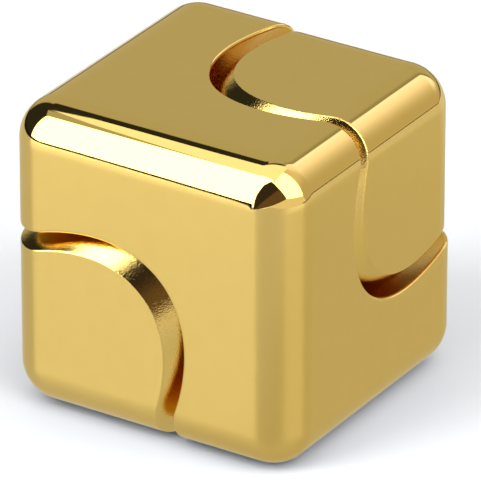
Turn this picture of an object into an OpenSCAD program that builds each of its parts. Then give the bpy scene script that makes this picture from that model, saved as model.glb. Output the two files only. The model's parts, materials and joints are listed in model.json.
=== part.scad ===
// A spinning fidget cube. The cube body, which is most of it, spins about the
// cube's body diagonal on one ball bearing. The two corners on that diagonal are
// round caps, joined through the bearing, that a finger and thumb hold still.
// Millimetres, +Z up, origin at the middle of the face that the cube rests on.

/* [Cube] */
// Length of each side of the cube
cube_side = 28; // [27.6:0.1:29]
// Radius of the rounded edges and corners
edge_radius = 3.75; // [3:0.05:4.5]

/* [Cube body] */
// Radius of the round bore that each cap sits in
bore_radius = 12.3; // [12:0.1:12.6]
// Thickness of the web across the bore, which carries the bearing
web_thickness = 7.2; // [7:0.1:7.6]

/* [Corner caps] */
// Radius of each cap about the diagonal
cap_radius = 11.2; // [11.1:0.1:11.6]
// Thickness of a cap's flat walls
cap_wall = 2.4; // [2.2:0.1:2.8]
// Thickness of a cap's round skirt where the hub disc fits
skirt_wall = 1.6; // [1.4:0.1:1.8]
// Gap along the diagonal between the web and the hub disc
hub_gap = 0.8; // [0.6:0.1:1]
// Thickness of each hub disc
hub_thickness = 2; // [1.8:0.1:2.2]
// How much further the upper cap is pressed onto its hub disc than the lower one
upper_cap_inset = 0.4; // [0:0.1:0.4]

/* [Bearing] */
// Outside diameter of the bearing
bearing_outside = 12.7; // [12.6:0.05:12.8]
// Bore of the bearing
bearing_bore = 6.35; // [6.3:0.05:6.4]
// Width of the bearing
bearing_width = 4.76; // [4.7:0.02:4.8]
// Diameter of each ball
ball_diameter = 1.588; // [1.55:0.01:1.6]
// Number of balls
ball_count = 9; // [7:1:10]

/* [Hidden] */
$fn = 96;

// Colours
gold = [0.85, 0.66, 0.27];
steel = [0.72, 0.73, 0.75];
dark_steel = [0.45, 0.46, 0.48];
alloy = [0.80, 0.81, 0.82];
brass = [0.78, 0.62, 0.32];

// Fits, all radial or along the diagonal
press = 0.01;
running = 0.02;
overshoot = 1;

// The diagonal
half_side = cube_side / 2;
diagonal_tilt = acos(1 / sqrt(3));
diagonal_turn = 45;
diagonal_reach = 1.5 * cube_side;
web_half = web_thickness / 2;

// Bearing, measured from its middle
bearing_half = bearing_width / 2;
bearing_radius = bearing_outside / 2;
shaft_radius = bearing_bore / 2;
ball_radius = ball_diameter / 2;
pitch_radius = (bearing_radius + shaft_radius) / 2;
land_offset = 0.61;
inner_land = pitch_radius - land_offset;
outer_land = pitch_radius + land_offset;
shield_thickness = 0.25;
shield_wall = 0.45;
shield_clearance = 0.2;
shield_radius = bearing_radius - shield_wall;
shield_hole = inner_land + shield_clearance;
clip_thickness = 0.2;
clip_inset = 0.1;
shield_level = bearing_half - clip_inset - clip_thickness - shield_thickness;
clip_level = shield_level + shield_thickness;
clip_groove = 0.1;
clip_wire = 0.45;
clip_gap_angle = 20;

// Ball cage
cage_sheet = 0.2;
cage_half_width = 0.32;
pocket_clearance = 0.03;
pocket_radius = ball_radius + pocket_clearance;
rivet_radius = 0.16;
rivet_head_radius = 0.27;
rivet_head = 0.1;

// What holds the bearing in the web
seat_lip_width = 0.65;
seat_lip = bearing_radius - seat_lip_width;
ring_thickness = 0.6;
ring_play = 0.05;
ring_level = bearing_half + ring_play;
ring_groove = 0.35;
ring_width = 1.0;
ring_gap_angle = 40;
ring_eye_radius = 0.75;
ring_eye_hole = 0.35;
ring_eye_turn = 12;
ring_eye_angle = ring_gap_angle / 2 + ring_eye_turn;

// Stack from the bearing out to the cap
hub_level = web_half + hub_gap;
spacer_wall = 0.9;
spacer_radius = shaft_radius + spacer_wall;
axle_end_gap = 0.2;
hub_radius = cap_radius - skirt_wall;
seat_depth = hub_thickness + upper_cap_inset;
hub_ledge = 0.6;
cavity_radius = hub_radius - hub_ledge;

// Hub screw, an M3 with a flat head and a hexagon socket
screw_radius = 1.5;
screw_hole = 1.6;
screw_head_radius = 2.8;
screw_head_depth = 1.3;
screw_length = 6;
socket_radius = 1.15;
socket_depth = 0.9;
tip_chamfer = 0.3;

// ---- Placing and shared shapes ----

// Puts children with +Z up along the diagonal, from the middle of the cube to its upper corner.
module on_diagonal() {
    translate([0, 0, half_side])
        rotate([0, diagonal_tilt, diagonal_turn])
            children();
}

// Swaps the upper and lower corners, by the half turn that leaves the cube as it was.
module half_turn() {
    translate([0, 0, half_side])
        rotate(180, [1, -1, 0])
            translate([0, 0, -half_side])
                children();
}

module rod(radius, from, to) {
    translate([0, 0, from])
        cylinder(r = radius, h = to - from);
}

module tube(outer, inner, from, to) {
    difference() {
        rod(outer, from, to);
        rod(inner, from - overshoot, to + overshoot);
    }
}

// A tube with a wedge cut out of it at +X, gap_angle wide.
module open_ring(outer, inner, from, to, gap_angle) {
    reach = 2 * outer;
    edge = [for (side = [-1, 1]) reach * [cos(gap_angle / 2), side * sin(gap_angle / 2)]];
    difference() {
        tube(outer, inner, from, to);
        translate([0, 0, from - overshoot])
            linear_extrude(to - from + 2 * overshoot)
                polygon([[0, 0], edge[0], edge[1]]);
    }
}

module ring_of(count) {
    for (i = [0 : count - 1])
        rotate([0, 0, i * 360 / count])
            children();
}

// A cube about the origin with every edge and corner rounded. Each rod and ball is turned so
// that the line where its surface closes on itself is inside the cube.
module rounded_cube(side, radius) {
    flat = side - 2 * radius;
    at = side / 2 - radius;
    for (axis = [[0, 0, 0], [90, 0, 0], [0, 90, 0]])
        rotate(axis) {
            cube([flat, flat, side], center = true);
            for (turn = [0, 90, 180, 270])
                rotate([0, 0, turn])
                    translate([at, at, 0])
                        rotate([0, 0, 225])
                            cylinder(r = radius, h = flat, center = true);
        }
    for (a = [-1, 1], b = [-1, 1], c = [-1, 1])
        translate(at * [a, b, c])
            rotate([0, c * asin(1 / sqrt(3)), atan2(-b, -a)])
                sphere(r = radius);
}

module whole_cube() {
    translate([0, 0, half_side])
        rounded_cube(cube_side, edge_radius);
}

// ---- Cube body ----

module cube_body() {
    color(gold)
    difference() {
        whole_cube();
        on_diagonal() {
            rod(bore_radius, web_half, diagonal_reach);
            rod(bore_radius, -diagonal_reach, -web_half);
            rod(seat_lip, -web_half - overshoot, web_half + overshoot);
            rod(bearing_radius, -bearing_half, web_half + overshoot);
            rod(bearing_radius + ring_groove, ring_level, ring_level + ring_thickness + press);
        }
    }
}

// A circlip: an open ring with an eye beside each end for the pliers.
module bearing_retaining_ring() {
    eye_at = bearing_radius - ring_width;
    top = ring_level + ring_thickness;
    color(dark_steel)
    on_diagonal()
    difference() {
        union() {
            open_ring(bearing_radius + ring_groove - press, eye_at, ring_level, top, ring_gap_angle);
            at_each_eye(eye_at) rod(ring_eye_radius, ring_level, top);
        }
        at_each_eye(eye_at) rod(ring_eye_hole, ring_level - overshoot, top + overshoot);
    }
}

module at_each_eye(radius) {
    for (side = [-1, 1])
        rotate([0, 0, side * ring_eye_angle])
            translate([radius, 0, 0])
                children();
}

// ---- Bearing ----

module ball_groove() {
    rotate_extrude()
        translate([pitch_radius, 0])
            circle(r = ball_radius + running);
}

module bearing_outer_ring() {
    color(steel)
    on_diagonal()
    difference() {
        tube(bearing_radius - press, outer_land, -bearing_half, bearing_half);
        ball_groove();
        for (end = [0, 180])
            rotate([end, 0, 0]) {
                rod(shield_radius, shield_level, bearing_half + overshoot);
                rod(shield_radius + clip_groove, clip_level, clip_level + clip_thickness);
            }
    }
}

module bearing_inner_ring() {
    color(steel)
    on_diagonal()
    difference() {
        tube(inner_land, shaft_radius, -bearing_half, bearing_half);
        ball_groove();
    }
}

module shield() {
    color(alloy)
        tube(shield_radius - press, shield_hole, shield_level, clip_level);
}

// A springy ring, open at one place, that snaps into the outer ring over the shield.
module shield_clip() {
    color(steel)
        open_ring(shield_radius + clip_groove - press, shield_radius - clip_wire,
                  clip_level + press, clip_level + clip_thickness - press, clip_gap_angle);
}

module upper_shield() { on_diagonal() shield(); }
module lower_shield() { half_turn() upper_shield(); }
module upper_shield_clip() { on_diagonal() shield_clip(); }
module lower_shield_clip() { half_turn() upper_shield_clip(); }

module bearing_balls() {
    color(steel)
    on_diagonal()
    ring_of(ball_count)
        translate([pitch_radius, 0, 0])
            sphere(r = ball_radius);
}

// Half of a ribbon cage: a flat ring pressed into a dome over each ball.
module ball_cage_half() {
    color(brass)
    difference() {
        intersection() {
            tube(pitch_radius + cage_half_width, pitch_radius - cage_half_width, 0, ball_diameter);
            union() {
                rod(bearing_radius, 0, cage_sheet);
                ring_of(ball_count)
                    translate([pitch_radius, 0, 0])
                        sphere(r = pocket_radius + cage_sheet);
            }
        }
        ring_of(ball_count)
            translate([pitch_radius, 0, 0])
                sphere(r = pocket_radius);
        ring_of(ball_count)
            rotate([0, 0, 180 / ball_count])
                translate([pitch_radius, 0, 0])
                    rod(rivet_radius + press, -overshoot, overshoot);
    }
}

module ball_cage_upper_half() { on_diagonal() ball_cage_half(); }

// Turned over about the line through the first ball, so that the two halves' pockets meet.
module ball_cage_lower_half() {
    on_diagonal()
        rotate([180, 0, 0])
            ball_cage_half();
}

module ball_cage_rivets() {
    color(brass)
    on_diagonal()
    ring_of(ball_count)
        rotate([0, 0, 180 / ball_count])
            translate([pitch_radius, 0, 0]) {
                rod(rivet_radius, -cage_sheet, cage_sheet);
                rod(rivet_head_radius, cage_sheet, cage_sheet + rivet_head);
                rod(rivet_head_radius, -cage_sheet - rivet_head, -cage_sheet);
            }
}

// ---- Axle and hubs ----

module axle() {
    end = hub_level - axle_end_gap;
    color(dark_steel)
    on_diagonal()
        tube(shaft_radius - press, screw_radius + press, -end, end);
}

module spacer() {
    color(brass)
        tube(spacer_radius, shaft_radius, bearing_half, hub_level);
}

module hub_disc() {
    top = hub_level + hub_thickness;
    color(alloy)
    difference() {
        rod(hub_radius - press, hub_level, top);
        rod(screw_hole, hub_level - overshoot, top + overshoot);
        translate([0, 0, top - screw_head_depth - press])
            cylinder(r1 = screw_hole, r2 = screw_head_radius + press, h = screw_head_depth + 2 * press);
    }
}

module hub_screw() {
    top = hub_level + hub_thickness;
    color(dark_steel)
    difference() {
        union() {
            translate([0, 0, top - screw_head_depth])
                cylinder(r1 = screw_radius, r2 = screw_head_radius, h = screw_head_depth);
            rod(screw_radius, top - screw_length + tip_chamfer, top - screw_head_depth);
            translate([0, 0, top - screw_length])
                cylinder(r1 = screw_radius - tip_chamfer, r2 = screw_radius, h = tip_chamfer);
        }
        translate([0, 0, top - socket_depth])
            cylinder(r = socket_radius, h = socket_depth + overshoot, $fn = 6);
    }
}

module upper_spacer() { on_diagonal() spacer(); }
module lower_spacer() { half_turn() upper_spacer(); }
module upper_hub_disc() { on_diagonal() hub_disc(); }
module lower_hub_disc() { half_turn() upper_hub_disc(); }
module upper_hub_screw() { on_diagonal() hub_screw(); }
module lower_hub_screw() { half_turn() upper_hub_screw(); }

// ---- Corner caps ----

// The upper cap, flush with the cube body: the cube's corner on a round skirt, hollow behind,
// with a seat in its open end for the hub disc.
module corner_cap() {
    shoulder = hub_level + seat_depth;
    color(gold)
    difference() {
        intersection() {
            whole_cube();
            on_diagonal() rod(cap_radius, hub_level, diagonal_reach);
        }
        on_diagonal() rod(hub_radius, hub_level - overshoot, shoulder);
        intersection() {
            on_diagonal() rod(cavity_radius, shoulder - overshoot, diagonal_reach);
            translate([0, 0, half_side] - cap_wall * [1, 1, 1])
                cube(cube_side, center = true);
        }
    }
}

module upper_corner_cap() {
    translate(-upper_cap_inset / sqrt(3) * [1, 1, 1])
        corner_cap();
}

module lower_corner_cap() { half_turn() corner_cap(); }

cube_body();
bearing_retaining_ring();
bearing_outer_ring();
upper_shield();
lower_shield();
upper_shield_clip();
lower_shield_clip();
ball_cage_upper_half();
ball_cage_lower_half();
ball_cage_rivets();
bearing_balls();
bearing_inner_ring();
axle();
upper_spacer();
lower_spacer();
upper_hub_disc();
lower_hub_disc();
upper_hub_screw();
lower_hub_screw();
upper_corner_cap();
lower_corner_cap();
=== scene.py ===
import json
import math

import bmesh
import bpy
import numpy as np
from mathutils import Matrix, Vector


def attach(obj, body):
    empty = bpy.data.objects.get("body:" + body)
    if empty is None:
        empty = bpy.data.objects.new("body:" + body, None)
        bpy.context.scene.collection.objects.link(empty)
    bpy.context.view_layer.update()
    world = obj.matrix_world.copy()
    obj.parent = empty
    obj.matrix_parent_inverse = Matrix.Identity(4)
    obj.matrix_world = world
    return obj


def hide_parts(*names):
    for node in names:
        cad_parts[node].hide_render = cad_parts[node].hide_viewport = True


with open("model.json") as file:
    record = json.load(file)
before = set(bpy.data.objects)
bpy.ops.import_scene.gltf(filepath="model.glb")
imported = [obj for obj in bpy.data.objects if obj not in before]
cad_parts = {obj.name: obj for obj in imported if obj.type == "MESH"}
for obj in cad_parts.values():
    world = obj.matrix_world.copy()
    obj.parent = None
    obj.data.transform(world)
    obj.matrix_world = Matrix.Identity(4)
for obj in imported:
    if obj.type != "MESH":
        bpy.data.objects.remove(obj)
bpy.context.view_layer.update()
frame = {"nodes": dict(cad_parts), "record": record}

# ---- Sizes in millimetres, as in the CAD part ----

MM = 0.001
SIDE = 28.0
HALF = SIDE / 2
EDGE_RADIUS = 3.75
BORE_RADIUS = 12.3
CAP_RADIUS = 11.2
WEB_HALF = 3.6
BEARING_RADIUS = 6.35
BEARING_HALF = 2.38
SEAT_LIP_RADIUS = 5.7
RING_GROOVE_RADIUS = 6.7
RING_GROOVE_FROM = 2.43
RING_GROOVE_TO = 3.04
HUB_LEVEL = 4.4
HUB_SHOULDER = 6.8
SKIRT_WALL = 1.6
HUB_RADIUS = CAP_RADIUS - SKIRT_WALL
HUB_LEDGE = 0.6
CAVITY_RADIUS = HUB_RADIUS - HUB_LEDGE
CAP_WALL = 2.4
UPPER_CAP_INSET = 0.4

# Edges that the polishing has softened
BORE_LIP = 0.25
CAP_LIP = 0.25
RIM_ROUND = 0.2

# Mesh density
BODY_COLUMNS = 640
CAP_COLUMNS = 480
SURFACE_ROWS = 100
CAP_ROWS = 64
LIP_ROWS = 6
WALL_ROWS = 5
ROOF_ROWS = 4

# Looking for the cube's surface: how often a guess is halved, and how far off the search starts
HALVINGS = 44
RAY_LENGTH = 40.0
LIP_SEARCH = 30.0

# Spacing of the rows: finer trial rows, how much a turn counts beside a length, and how late a
# column leans sideways to meet its end
TRIAL_FINENESS = 3
TURN_WEIGHT = 4.0
LEAN_POWER = 6

# The diagonal that everything turns about, and two directions square to it
ALONG = np.array([1.0, 1.0, 1.0]) / math.sqrt(3)
ACROSS = np.array([1.0, 1.0, -2.0]) / math.sqrt(6)
ASIDE = np.array([-1.0, 1.0, 0.0]) / math.sqrt(2)
CENTRE = np.array([0.0, 0.0, HALF])


# ---- The rounded cube, about its own middle ----

def cube_reach(points):
    """How far each point is past the flat core of the cube, along X, Y and Z."""
    return np.abs(points) - (HALF - EDGE_RADIUS)


def cube_distance(points):
    """Distance outside the rounded cube, negative inside it."""
    reach = cube_reach(points)
    outside = np.linalg.norm(np.maximum(reach, 0), axis=-1)
    inside = np.minimum(reach.max(axis=-1), 0)
    return outside + inside - EDGE_RADIUS


def cube_normal(points):
    """The rounded cube's outward direction nearest each point."""
    reach = np.maximum(cube_reach(points), 0) * np.sign(points)
    return reach / np.linalg.norm(reach, axis=-1, keepdims=True)


def cast(origin, direction):
    """Where rays from inside the cube leave it."""
    near = np.zeros(direction.shape[:-1])
    far = np.full(direction.shape[:-1], RAY_LENGTH)
    for _ in range(HALVINGS):
        middle = (near + far) / 2
        inside = cube_distance(origin + middle[..., None] * direction) < 0
        near = np.where(inside, middle, near)
        far = np.where(inside, far, middle)
    return origin + near[..., None] * direction


# ---- Shapes made of columns, one for each direction round the diagonal ----

def columns(count):
    """The direction away from the diagonal, for each of count columns."""
    turn = np.arange(count) * 2 * math.pi / count
    return np.cos(turn)[:, None] * ACROSS + np.sin(turn)[:, None] * ASIDE


def at(radial, radius, along):
    """Points at a radius from the diagonal and a distance along it. One row per column."""
    radius = np.broadcast_to(radius, (len(radial),))
    along = np.broadcast_to(along, (len(radial),))
    return radial * radius[:, None] + ALONG * along[:, None]


def straight(start, end, normal, rows):
    """A flat or ruled strip from start to end with one normal for each column."""
    step = np.linspace(0, 1, rows + 1)[None, :, None]
    points = start[:, None, :] * (1 - step) + end[:, None, :] * step
    return points, np.broadcast_to(normal[:, None, :], points.shape)


def slerp(a, b, rows):
    """Directions turning evenly from a to b."""
    step = np.linspace(0, 1, rows + 1)[None, :, None]
    angle = np.arccos(np.clip((a * b).sum(-1), -1, 1))[:, None, None]
    angle = np.maximum(angle, 1e-6)
    a, b = a[:, None, :], b[:, None, :]
    return (np.sin((1 - step) * angle) * a + np.sin(step * angle) * b) / np.sin(angle)


def rounding(centre, start, end, radius, rows):
    """A strip rolled round centre, facing from start to end."""
    facing = slerp(start, end, rows)
    return centre[:, None, :] + radius * facing, facing


def lip_centre(radial, radius, inset, end):
    """Middle of the ball that softens the edge where a round wall meets the cube's surface."""
    low = np.zeros(len(radial))
    high = np.full(len(radial), LIP_SEARCH)
    for _ in range(HALVINGS):
        middle = (low + high) / 2
        deep = cube_distance(at(radial, radius, end * middle)) < -inset
        low = np.where(deep, middle, low)
        high = np.where(deep, high, middle)
    return at(radial, radius, end * low)


def even_rows(points, normals, rows, turn_weight):
    """Picks steps along each column that share out its length and how much it turns."""
    length = np.linalg.norm(np.diff(points, axis=1), axis=-1)
    turn = np.linalg.norm(np.diff(normals, axis=1), axis=-1)
    cost = np.cumsum(length + turn_weight * turn, axis=1)
    cost = np.concatenate([np.zeros((len(points), 1)), cost], axis=1)
    step = np.linspace(0, 1, cost.shape[1])
    wanted = np.linspace(0, 1, rows + 1)
    return np.stack([np.interp(wanted * c[-1], c, step) for c in cost])


def surface_between(radial, start_level, first, last, rows):
    """The cube's surface from point first to point last of each column."""
    origin = at(radial, BORE_RADIUS if start_level is None else 0.0, start_level or 0.0)
    sideways = np.cross(ALONG, radial)
    ends = []
    for point in (first, last):
        ray = point - origin
        ray = ray / np.linalg.norm(ray, axis=-1, keepdims=True)
        ends.append((np.arctan2((ray * ALONG).sum(-1), (ray * radial).sum(-1)),
                     (ray * sideways).sum(-1)))

    def points_at(step):
        angle = ends[0][0][:, None] * (1 - step) + ends[1][0][:, None] * step
        lean = (ends[0][1][:, None] * (1 - step) ** LEAN_POWER
                + ends[1][1][:, None] * step ** LEAN_POWER)
        flat = np.sqrt(1 - lean ** 2)
        ray = ((flat * np.cos(angle))[..., None] * radial[:, None, :]
               + (flat * np.sin(angle))[..., None] * ALONG
               + lean[..., None] * sideways[:, None, :])
        return cast(origin[:, None, :], ray)

    trial_rows = TRIAL_FINENESS * rows + 1
    trial_step = np.broadcast_to(np.linspace(0, 1, trial_rows), (len(radial), trial_rows))
    trial = points_at(trial_step)
    points = points_at(even_rows(trial, cube_normal(trial), rows, TURN_WEIGHT))
    return points, cube_normal(points)


def build(name, strips, closed, material, body, replaced):
    """Joins strips, each a grid of points and normals by column and row, into one mesh piece."""
    count = len(strips[0][0])
    rows = [p[:, :-1] for p, _ in strips]
    if not closed:
        rows.append(strips[-1][0][:, -1:])
    grid = np.concatenate(rows, axis=1)
    row_count = grid.shape[1]
    start_normals = np.concatenate([n[:, :-1] for _, n in strips], axis=1)
    end_normals = np.concatenate([n[:, 1:] for _, n in strips], axis=1)
    strip_count = start_normals.shape[1]

    index = np.arange(count * row_count).reshape(count, row_count)
    if not closed:
        index[:, 0] = index[0, 0]
        index[:, -1] = index[0, -1]
    here, there = index, np.roll(index, -1, axis=0)
    low = np.arange(strip_count)
    high = (low + 1) % row_count
    quads = np.stack([here[:, low], there[:, low], there[:, high], here[:, high]], axis=-1)
    next_start = np.roll(start_normals, -1, axis=0)
    next_end = np.roll(end_normals, -1, axis=0)
    quad_normals = np.stack([start_normals, next_start, next_end, end_normals], axis=2)

    faces, normals = [], []
    for strip in range(strip_count):
        corners = [0, 1, 2, 3]
        if not closed and strip == 0:
            corners = [0, 2, 3]
        if not closed and strip == strip_count - 1:
            corners = [0, 1, 2]
        faces.append(quads[:, strip][:, corners])
        normals.append(quad_normals[:, strip][:, corners])

    points = (grid.reshape(-1, 3) + CENTRE) * MM
    first = points[faces[len(faces) // 2][0]]
    facing = np.cross(first[1] - first[0], first[2] - first[0])
    if facing @ normals[len(faces) // 2][0][0] < 0:
        faces = [f[:, ::-1] for f in faces]
        normals = [n[:, ::-1] for n in normals]

    used, tidy = np.unique(np.concatenate([f.ravel() for f in faces]), return_inverse=True)
    sizes = np.concatenate([np.full(len(f), f.shape[1]) for f in faces])
    mesh = bpy.data.meshes.new(name)
    mesh.vertices.add(len(used))
    mesh.vertices.foreach_set("co", points[used].ravel())
    mesh.loops.add(len(tidy))
    mesh.loops.foreach_set("vertex_index", tidy.astype(np.int32))
    mesh.polygons.add(len(sizes))
    mesh.polygons.foreach_set("loop_start", (np.cumsum(sizes) - sizes).astype(np.int32))
    mesh.update(calc_edges=True)
    mesh.shade_smooth()
    mesh.validate()
    mesh.normals_split_custom_set(np.concatenate([n.reshape(-1, 3) for n in normals]))
    mesh.materials.append(material)

    piece = bpy.data.objects.new(name, mesh)
    bpy.context.scene.collection.objects.link(piece)
    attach(piece, body)
    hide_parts(replaced)
    return piece


# ---- Cube body ----

def bore_end(radial, end):
    """From the web up one end's bore wall and over its lip. end is 1 for the upper bore."""
    centre = lip_centre(radial, BORE_RADIUS + BORE_LIP, BORE_LIP, end)
    top = (centre * ALONG).sum(-1)
    wall = straight(at(radial, BORE_RADIUS, end * WEB_HALF), at(radial, BORE_RADIUS, top),
                    -radial, WALL_ROWS)
    lip = rounding(centre, -radial, cube_normal(centre), BORE_LIP, LIP_ROWS)
    return [wall, lip]


def backwards(strips):
    """The same strips, walked from their far end."""
    return [(points[:, ::-1], normals[:, ::-1]) for points, normals in reversed(strips)]


def web(radial):
    """Across the web from the lower bore to the upper one, through the bearing's seat."""
    up = np.broadcast_to(ALONG, radial.shape)
    outline = [
        (BORE_RADIUS, -WEB_HALF, -up), (SEAT_LIP_RADIUS, -WEB_HALF, -radial),
        (SEAT_LIP_RADIUS, -BEARING_HALF, up), (BEARING_RADIUS, -BEARING_HALF, -radial),
        (BEARING_RADIUS, RING_GROOVE_FROM, up), (RING_GROOVE_RADIUS, RING_GROOVE_FROM, -radial),
        (RING_GROOVE_RADIUS, RING_GROOVE_TO, -up), (BEARING_RADIUS, RING_GROOVE_TO, -radial),
        (BEARING_RADIUS, WEB_HALF, up), (BORE_RADIUS, WEB_HALF, up),
    ]
    return [straight(at(radial, a[0], a[1]), at(radial, b[0], b[1]), a[2], 1)
            for a, b in zip(outline, outline[1:])]


def make_cube_body(material):
    """The rounded cube with a bore at each end of the diagonal and the bearing's seat between."""
    radial = columns(BODY_COLUMNS)
    upper, lower = bore_end(radial, 1), bore_end(radial, -1)
    skin = surface_between(radial, None, upper[-1][0][:, -1], lower[-1][0][:, -1], SURFACE_ROWS)
    strips = upper + [skin] + backwards(lower) + web(radial)
    return build("polished_cube_body", strips, True, material, "body", "cube_body")


# ---- Corner caps ----

def cap_hollow(radial):
    """Inside of a cap, from its rim to the tip of its hollow."""
    up = np.broadcast_to(ALONG, radial.shape)
    slope = math.sqrt(3) * radial.max(axis=-1)
    tip = math.sqrt(3) * (HALF - CAP_WALL)
    top = tip - slope * CAVITY_RADIUS
    roof = -np.eye(3)[radial.argmax(axis=-1)]
    return [
        straight(at(radial, HUB_RADIUS, HUB_LEVEL), at(radial, HUB_RADIUS, HUB_SHOULDER),
                 -radial, 1),
        straight(at(radial, HUB_RADIUS, HUB_SHOULDER), at(radial, CAVITY_RADIUS, HUB_SHOULDER),
                 -up, 1),
        straight(at(radial, CAVITY_RADIUS, HUB_SHOULDER), at(radial, CAVITY_RADIUS, top),
                 -radial, 1),
        straight(at(radial, CAVITY_RADIUS, top), at(radial, 0.0, tip), roof, ROOF_ROWS),
    ]


def turned_over(vectors):
    """Half a turn about the level line through the middle that is square to the diagonal."""
    return 2 * (vectors @ ASIDE)[..., None] * ASIDE - vectors


def make_cap(name, end, inset, material, replaced):
    """A corner cap. The lower one is the upper one turned over."""
    radial = columns(CAP_COLUMNS)
    up = np.broadcast_to(ALONG, radial.shape)
    centre = lip_centre(radial, CAP_RADIUS - CAP_LIP, CAP_LIP, 1)
    facing = cube_normal(centre)
    lip = rounding(centre, facing, radial, CAP_LIP, LIP_ROWS)
    tip = at(radial, 0.0, math.sqrt(3) * (HALF - EDGE_RADIUS) + EDGE_RADIUS)
    skin = surface_between(radial, HUB_LEVEL, tip, lip[0][:, 0], CAP_ROWS)
    rim_centre = at(radial, CAP_RADIUS - RIM_ROUND, HUB_LEVEL + RIM_ROUND)
    skirt = straight(lip[0][:, -1], at(radial, CAP_RADIUS, HUB_LEVEL + RIM_ROUND), radial, WALL_ROWS)
    rim_edge = rounding(rim_centre, radial, -up, RIM_ROUND, LIP_ROWS)
    rim = straight(rim_edge[0][:, -1], at(radial, HUB_RADIUS, HUB_LEVEL), -up, 1)
    strips = [skin, lip, skirt, rim_edge, rim] + cap_hollow(radial)
    if end < 0:
        strips = [(turned_over(points), turned_over(normals)) for points, normals in strips]
    strips = [(points - inset * ALONG, normals) for points, normals in strips]
    return build(name, strips, False, material, "caps", replaced)


# ---- Materials ----

class Graph:
    """Shorthand for adding a shader's nodes."""

    def __init__(self, tree):
        self.tree = tree

    def node(self, kind, inputs=(), **settings):
        """A node with its inputs set by number or name, each to a value or to another's output."""
        made = self.tree.nodes.new(kind)
        for key, value in settings.items():
            setattr(made, key, value)
        for socket, value in dict(inputs).items():
            if isinstance(value, bpy.types.NodeSocket):
                self.tree.links.new(value, made.inputs[socket])
            else:
                made.inputs[socket].default_value = value
        return made

    def math(self, operation, *values):
        return self.node("ShaderNodeMath", dict(enumerate(values)), operation=operation).outputs[0]

    def dot(self, vector, direction):
        return self.node("ShaderNodeVectorMath", {0: vector, 1: direction},
                         operation="DOT_PRODUCT").outputs["Value"]

    def ramp(self, value, low, high, to_low=0.0, to_high=1.0):
        """A smooth change from to_low to to_high as value goes from low to high."""
        return self.node("ShaderNodeMapRange", {0: value, 1: low, 2: high, 3: to_low, 4: to_high},
                         interpolation_type="SMOOTHSTEP").outputs[0]

    def noise(self, where, feature, detail=2.0):
        """Noise from 0 to 1 whose features are about this many millimetres across."""
        return self.node("ShaderNodeTexNoise",
                         {"Vector": where, "Scale": 1 / (feature * MM), "Detail": detail}).outputs[0]

    def mix(self, factor, first, second):
        mixed = self.node("ShaderNodeMix", {0: factor, 6: (*first, 1), 7: (*second, 1)},
                          data_type="RGBA")
        return mixed.outputs[2]


def new_material(name):
    """A material, its node graph and its main shader."""
    material = bpy.data.materials.new(name)
    material.use_nodes = True
    return material, Graph(material.node_tree), material.node_tree.nodes["Principled BSDF"]


def link(graph, shader, **sockets):
    """Feeds the shader's sockets, named with _ for each space."""
    for name, value in sockets.items():
        graph.tree.links.new(value, shader.inputs[name.replace("_", " ")])


def from_diagonal(graph, where):
    """Distance from the diagonal that everything turns about."""
    from_middle = graph.node("ShaderNodeVectorMath", {0: where, 1: Vector(CENTRE * MM)},
                             operation="SUBTRACT").outputs[0]
    off_axis = graph.node("ShaderNodeVectorMath", {0: from_middle, 1: Vector(ALONG)},
                          operation="CROSS_PRODUCT").outputs[0]
    return graph.node("ShaderNodeVectorMath", {0: off_axis}, operation="LENGTH").outputs["Value"]


def bump(graph, height, depth, strength=1.0, under=None):
    """A bumped normal, depth in millimetres, on top of another bump if there is one."""
    inputs = {"Height": height, "Distance": depth * MM, "Strength": strength}
    if under:
        inputs["Normal"] = under
    return graph.node("ShaderNodeBump", inputs).outputs[0]


# Gold plating. Sizes and depths are in millimetres.
GOLD = (0.815, 0.59, 0.18)
WORN_GOLD = (0.785, 0.56, 0.165)
# Deeper orange of the bore walls: a painted reflection of gold mirroring gold in the groove
BORE_GOLD_PAINTED_GLOW = (0.90, 0.60, 0.17, 1)
GOLD_EDGE_TINT = (1.0, 0.97, 0.85, 1.0)
WEAR_SIZE = 1.7
POLISHED_ROUGHNESS = 0.035
WORN_ROUGHNESS = 0.055
BORE_DULLNESS = 0.14
WAVE_SIZE = 5.0
WAVE_DEPTH = 0.006
GRAIN_SIZE = 0.13
GRAIN_DEPTH = 0.018
GRAIN_STARTS = 0.25
GRAIN_IS_FULL = 0.05
BORE_SHADE_WIDTH = 0.3


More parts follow.
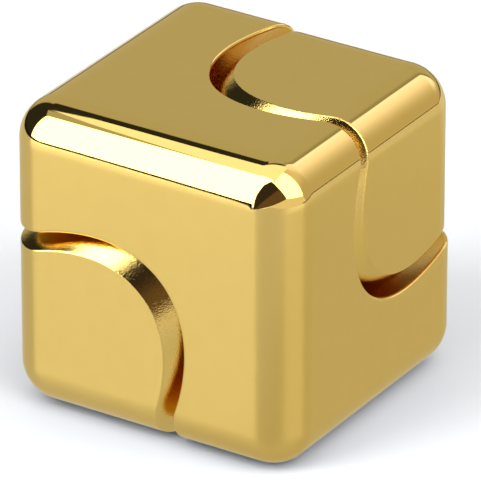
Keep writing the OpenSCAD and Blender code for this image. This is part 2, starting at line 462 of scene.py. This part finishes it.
def gold_plate():
    """Polished gold plating, a little wavy. The polishing wheel doesn't reach into the grooves, so the
    caps' skirts keep a fine grain and the bores' walls are duller. The bores' walls are also painted a
    deeper orange, a painted reflection standing in for the gold mirroring itself down the groove."""
    material, graph, shader = new_material("gold_plate")
    shader.inputs["Metallic"].default_value = 1.0
    shader.inputs["Specular Tint"].default_value = GOLD_EDGE_TINT
    where = graph.node("ShaderNodeTexCoord").outputs["Object"]
    radius = from_diagonal(graph, where)
    middle = (BORE_RADIUS + CAP_RADIUS) / 2
    half = (BORE_RADIUS - CAP_RADIUS) / 2
    from_groove = graph.math("ABSOLUTE", graph.math("SUBTRACT", radius, middle * MM))
    in_groove = graph.ramp(from_groove, (half + GRAIN_STARTS) * MM, (half + GRAIN_IS_FULL) * MM)
    past_middle = graph.ramp(radius, middle * MM, (middle + BORE_SHADE_WIDTH) * MM)
    on_bore = graph.math("MULTIPLY", in_groove, past_middle)

    wear = graph.noise(where, WEAR_SIZE, 4.0)
    polished = graph.mix(wear, GOLD, WORN_GOLD)
    # The bore walls take the painted deeper orange, a painted reflection; their duller roughness is the
    # unpolished finish
    shade = graph.node("ShaderNodeMix", {0: on_bore, 6: polished, 7: BORE_GOLD_PAINTED_GLOW},
                       data_type="RGBA").outputs[2]
    polish = graph.ramp(wear, 0.3, 0.7, POLISHED_ROUGHNESS, WORN_ROUGHNESS)
    duller = graph.math("MULTIPLY", on_bore, BORE_DULLNESS)
    roughness = graph.math("ADD", polish, duller)

    wavy = bump(graph, graph.noise(where, WAVE_SIZE, 1.0), WAVE_DEPTH)
    grain = bump(graph, graph.noise(where, GRAIN_SIZE, 3.0), GRAIN_DEPTH, in_groove, wavy)
    link(graph, shader, Base_Color=shade, Roughness=roughness, Normal=grain)
    return material


# Bare metals
RING_SPACING = 0.12
BLOTCH_SIZE = 0.9


def turned_metal(name, colour, worn_colour, roughness, groove_depth):
    """Metal with the fine rings that a lathe or a grinder leaves about the diagonal."""
    material, graph, shader = new_material(name)
    shader.inputs["Metallic"].default_value = 1.0
    where = graph.node("ShaderNodeTexCoord").outputs["Object"]
    rings = graph.node("ShaderNodeTexNoise", {"W": from_diagonal(graph, where),
                                              "Scale": 1 / (RING_SPACING * MM), "Detail": 2.0},
                       noise_dimensions="1D").outputs[0]
    blotches = graph.noise(where, BLOTCH_SIZE, 4.0)
    shade = graph.mix(blotches, colour, worn_colour)
    uneven = graph.ramp(blotches, 0.25, 0.75, roughness * 0.75, roughness * 1.3)
    link(graph, shader, Base_Color=shade, Roughness=uneven, Normal=bump(graph, rings, groove_depth))
    return material


# The finish of each slot whose pieces are shown as the CAD part has them: colour, worn colour,
# roughness, and depth of the lathe marks in millimetres.
FINISHES = {
    "bearing_steel": ((0.56, 0.57, 0.58), (0.50, 0.50, 0.51), 0.12, 0.001),
    "shield_steel": ((0.46, 0.47, 0.48), (0.40, 0.40, 0.41), 0.28, 0.003),
    "cage_brass": ((0.55, 0.38, 0.14), (0.46, 0.31, 0.11), 0.30, 0.002),
    "dark_steel": ((0.10, 0.10, 0.105), (0.07, 0.068, 0.066), 0.38, 0.003),
    "hub_alloy": ((0.66, 0.67, 0.68), (0.56, 0.57, 0.58), 0.32, 0.004),
}


def finish_cad_pieces():
    """Gives every piece that keeps its CAD shape the metal of its material slot."""
    metals = {slot: turned_metal(slot, *finish) for slot, finish in FINISHES.items()}
    for row in frame["record"]["subparts"]:
        if row["material_slot"] in metals:
            slots = frame["nodes"][row["node"]].material_slots
            for slot in slots:
                slot.material = metals[row["material_slot"]]


gold = gold_plate()
make_cube_body(gold)
make_cap("polished_upper_cap", 1, UPPER_CAP_INSET, gold, "upper_corner_cap")
make_cap("polished_lower_cap", -1, 0.0, gold, "lower_corner_cap")
finish_cad_pieces()


# ---- Studio ----

CAMERA_AZIMUTH = 32.41
CAMERA_ELEVATION = 26.85
CAMERA_SIDES_AWAY = 22
FOCAL_LENGTH = 546.2
SENSOR_WIDTH = 36.0
SHIFT_X = 0.0104
SHIFT_Y = -0.0274
NEAREST_SEEN = 0.01
FARTHEST_SEEN = 20


def make_camera():
    """A long lens, turned from the front of the cube and above it, a little off centre."""
    aim = Vector(CENTRE * MM)
    azimuth = math.radians(CAMERA_AZIMUTH)
    elevation = math.radians(CAMERA_ELEVATION)
    back = Vector((math.sin(azimuth) * math.cos(elevation),
                   -math.cos(azimuth) * math.cos(elevation), math.sin(elevation)))
    data = bpy.data.cameras.new("camera")
    data.sensor_width = SENSOR_WIDTH
    data.lens = FOCAL_LENGTH
    data.shift_x = SHIFT_X
    data.shift_y = SHIFT_Y
    data.clip_start = NEAREST_SEEN
    data.clip_end = FARTHEST_SEEN
    camera = bpy.data.objects.new("camera", data)
    camera.location = aim + back * CAMERA_SIDES_AWAY * SIDE * MM
    camera.rotation_mode = "QUATERNION"
    camera.rotation_quaternion = (-back).to_track_quat("-Z", "Y")
    bpy.context.scene.collection.objects.link(camera)
    bpy.context.scene.camera = camera


def toward(azimuth, elevation):
    """A direction, from degrees round the horizon from +X and degrees up from it."""
    azimuth, elevation = math.radians(azimuth), math.radians(elevation)
    return Vector((math.cos(azimuth) * math.cos(elevation),
                   math.sin(azimuth) * math.cos(elevation), math.sin(elevation)))


# What stands round the object, as brightness and corners. A corner is an azimuth, an elevation and
# how soft the edge from it to the next corner is, all in degrees. Later ones lie over earlier ones.
ROOM = (0.557, 0.545, 0.47)
PANELS = {
    "low_wall": ((0.64, 0.58, 0.45), [(15, -14, 4), (15, 30, 15), (64, 30, 15), (66, -14, 4)]),
    "warm_wall": ((0.95, 0.85, 0.72), [(5, 25, 15), (5, 66, 3), (70, 66, 3), (70, 25, 15)]),
    "ceiling": ((0.03, 0.03, 0.03),
                [(166, 47, 1), (139, 56, 1), (-120, 75, 1), (-47, 63, 1), (-157, 46, 1)]),
    "dark_corner": ((0.03, 0.03, 0.03),
                    [(153, -6, 2), (155, 51, 1), (-151, 51, 1), (-150, -6, 2)]),
    "window_frame": ((0.34, 0.34, 0.28), [(80, 14, 6), (80, 64, 2), (88, 64, 4), (88, 14, 6)]),
    "right_window": ((1.65, 1.6, 2.1), [(64, 10, 16), (64, 62, 3), (81.5, 64, 0.8), (81.5, 10, 8)]),
    "ceiling_edge": ((0.03, 0.03, 0.03), [(150, 62, 1), (76, 57, 1), (76, 60.5, 2), (150, 72, 1)]),
    "key": ((5.0, 5.0, 5.0),
            [(-149, -8, 1.5), (-148, 53, 0.8), (-93, 68, 0.8), (-60, 63, 1), (-60, -8, 1)]),
    "fill": ((3.3, 3.3, 3.3), [(-27, 10, 1), (-61, 57, 1), (30, 71, 1), (20, 4, 1.5)]),
    "opening": ((0.04, 0.033, 0.035),
                [(-110, -16, 0.7), (-106.5, 18, 0.7), (-96, 48, 0.7), (-72, 61, 0.7),
                 (-27, 18, 0.7), (-26, 13, 1)]),
    "camera_hand": ((0.15, 0.095, 0.06),
                    [(-92, 3, 4), (-102, -13, 4), (-27, 14, 1), (-45, 40, 2), (-74, 21, 4)]),
    "low_card": ((1.0, 0.93, 0.85),
                 [(-103, -20, 4), (-84, -8.5, 1), (-55, 4, 1), (-26, 14, 1), (20, 5, 1), (32, -20, 5)]),
}


def make_world():
    """The room and the panels in it, which the gold mirrors."""
    world = bpy.data.worlds.new("studio")
    world.use_nodes = True
    graph = Graph(world.node_tree)
    background = world.node_tree.nodes["Background"]
    looking = graph.node("ShaderNodeTexCoord").outputs["Generated"]
    colour = graph.mix(0.0, ROOM, ROOM)
    for shade, corners in PANELS.values():
        points = [toward(azimuth, elevation) for azimuth, elevation, _ in corners]
        middle = sum(points, Vector())
        inside = 1.0
        for corner, start, end in zip(corners, points, points[1:] + points[:1]):
            edge = start.cross(end).normalized()
            if edge.dot(middle) < 0:
                edge.negate()
            softness = math.sin(math.radians(corner[2]))
            within = graph.ramp(graph.dot(looking, edge), -softness, softness)
            inside = graph.math("MULTIPLY", inside, within)
        layer = graph.node("ShaderNodeMix", {0: inside, 6: colour, 7: (*shade, 1)},
                           data_type="RGBA")
        colour = layer.outputs[2]
    link(graph, background, Color=colour)
    bpy.context.scene.world = world
    bpy.context.scene.view_settings.view_transform = "Standard"


def stage_sheet(name, outline, height, material):
    """A flat staged sheet with this outline, all in millimetres."""
    mesh = bpy.data.meshes.new(name)
    mesh.from_pydata([(x * MM, y * MM, height * MM) for x, y in outline], [],
                     [tuple(range(len(outline)))])
    mesh.materials.append(material)
    sheet = bpy.data.objects.new(name, mesh)
    bpy.context.scene.collection.objects.link(sheet)
    return sheet


def only_in_reflections(sheet):
    """Leaves a sheet visible to mirror-like surfaces alone."""
    sheet.visible_camera = False
    sheet.visible_diffuse = False
    sheet.visible_shadow = False


def plain_paper(name, brightness, roughness, specular):
    """White card, coated or not."""
    material, graph, shader = new_material(name)
    where = graph.node("ShaderNodeTexCoord").outputs["Object"]
    fibre = graph.noise(where, 3.0, 3.0)
    shader.inputs["Roughness"].default_value = roughness
    shader.inputs["Specular IOR Level"].default_value = specular
    worn = tuple(channel * 0.99 for channel in brightness)
    link(graph, shader, Base_Color=graph.mix(fibre, worn, brightness))
    return material


# The painted glow on the table, which the gold mirrors: painted light, with painted shade near the
# object. Distances are in millimetres: first from the warm spot, where its colour changes to a dimmer,
# warmer painted shade, then from the middle of the object's underside, where it strengthens away from
# the painted shade near the object.
WARM_SPOT = (42, 15, 0)
WARM_SHADED_GLOW = (0.97, 0.88, 0.61)
FAR_GLOW = (1.16, 1.13, 1.13)
WARM_UP_TO = 35
COOL_FROM = 62
WEAK_UP_TO = 35
STRONG_FROM = 75
SHADED_GLOW = 0.335
STRONG_GLOW = 0.39


def paint_glow_and_shade_about(material, spot, near, far):
    """Paints a glow into the table, which the gold mirrors: light that no lamp gives, dimmer and warmer
    about one spot as painted warm shade, and weaker near the object's underside as painted shade.
    """
    graph = Graph(material.node_tree)
    shader = material.node_tree.nodes["Principled BSDF"]
    where = graph.node("ShaderNodeTexCoord").outputs["Object"]
    away = graph.node("ShaderNodeVectorMath", {0: where, 1: Vector(spot) * MM},
                      operation="DISTANCE").outputs["Value"]
    share = graph.ramp(away, WARM_UP_TO * MM, COOL_FROM * MM)
    link(graph, shader, Emission_Color=graph.mix(share, near, far))
    out = graph.node("ShaderNodeVectorMath", {0: where}, operation="LENGTH").outputs["Value"]
    strength = graph.ramp(out, WEAK_UP_TO * MM, STRONG_FROM * MM, SHADED_GLOW, STRONG_GLOW)
    link(graph, shader, Emission_Strength=strength)


def glowing(name, brightness):
    """A surface that gives off white light and returns none."""
    material, graph, shader = new_material(name)
    shader.inputs["Base Color"].default_value = (0, 0, 0, 1)
    shader.inputs["Emission Color"].default_value = (1, 1, 1, 1)
    shader.inputs["Emission Strength"].default_value = brightness
    return material


# Outlines in millimetres, seen from above
FLOOR_REACH = 3000
TABLE = [(-250, 250), (-250, -410), (-64, -145), (-40, -105), (-22, -80), (16, -160),
         (110, -280), (150, -280), (150, 250)]
TABLE_EDGE = [(-20, -74), (-100, -289), (-143, -289), (-470, -845), (-3000, -5200), (-3000, 1000),
              (100, 1000), (186, 250), (186, 30), (100, 30)]
TABLE_EDGE_LEVEL = -1
OVERHEAD_LAMP = [(-68, -18), (-63, -2), (-50, -1), (10, 28), (40, 44), (44, -54), (-50, -52),
                 (-57, -46), (-64, -33)]
LAMP_HEIGHT = 127
LAMP_BRIGHTNESS = 1.45

# Colour, roughness and sheen of each card
FLOOR_PAPER = ((0.83, 0.85, 0.88), 0.9, 0.1)
TABLE_PAPER = ((0.5, 0.5, 0.5), 0.4, 0.45)
EDGE_PAPER = ((0.02, 0.02, 0.02), 0.9, 0.0)

BACKDROP_RADIUS = 4500.0
BACKDROP_BRIGHTNESS = 0.93
GROOVE_BOUNCES = 12


def square(reach):
    """The outline of a square about the origin."""
    return [(-reach, -reach), (reach, -reach), (reach, reach), (-reach, reach)]


def make_stage():
    """The matt floor in view, the small glossy table that the object mirrors in its place, the dark
    gap past the table's edge, and the lamp overhead."""
    floor = stage_sheet("floor", square(FLOOR_REACH), 0, plain_paper("floor", *FLOOR_PAPER))
    floor.visible_glossy = False

    coated = plain_paper("table", *TABLE_PAPER)
    # The table gets a painted glow with painted shade, seen only in the gold's reflections
    paint_glow_and_shade_about(coated, WARM_SPOT, WARM_SHADED_GLOW, FAR_GLOW)
    only_in_reflections(stage_sheet("table", TABLE, 0, coated))
    dark = plain_paper("table_edge", *EDGE_PAPER)
    only_in_reflections(stage_sheet("table_edge", TABLE_EDGE, TABLE_EDGE_LEVEL, dark))

    light = glowing("overhead_lamp", LAMP_BRIGHTNESS)
    lamp = stage_sheet("overhead_lamp", OVERHEAD_LAMP, LAMP_HEIGHT, light)
    lamp.visible_camera = False


def make_backdrop():
    """A pale dome that only the camera sees, so that low views don't show the studio's panels."""
    mesh = bpy.data.meshes.new("backdrop")
    dome = bmesh.new()
    bmesh.ops.create_uvsphere(dome, u_segments=48, v_segments=24, radius=BACKDROP_RADIUS * MM)
    dome.to_mesh(mesh)
    dome.free()
    mesh.materials.append(glowing("backdrop", BACKDROP_BRIGHTNESS))
    backdrop = bpy.data.objects.new("backdrop", mesh)
    bpy.context.scene.collection.objects.link(backdrop)
    backdrop.visible_diffuse = False
    backdrop.visible_glossy = False
    backdrop.visible_transmission = False
    backdrop.visible_shadow = False


def let_light_into_the_groove():
    """Enough bounces for light to find its way down between the gold walls."""
    bpy.context.scene.cycles.glossy_bounces = GROOVE_BOUNCES


def keep_the_shadow_neutral():
    """Leaves out the gold's glints on the floor in view, which would warm the shadow."""
    bpy.context.scene.cycles.caustics_reflective = False


make_camera()
make_world()
make_stage()
make_backdrop()
let_light_into_the_groove()
keep_the_shadow_neutral()
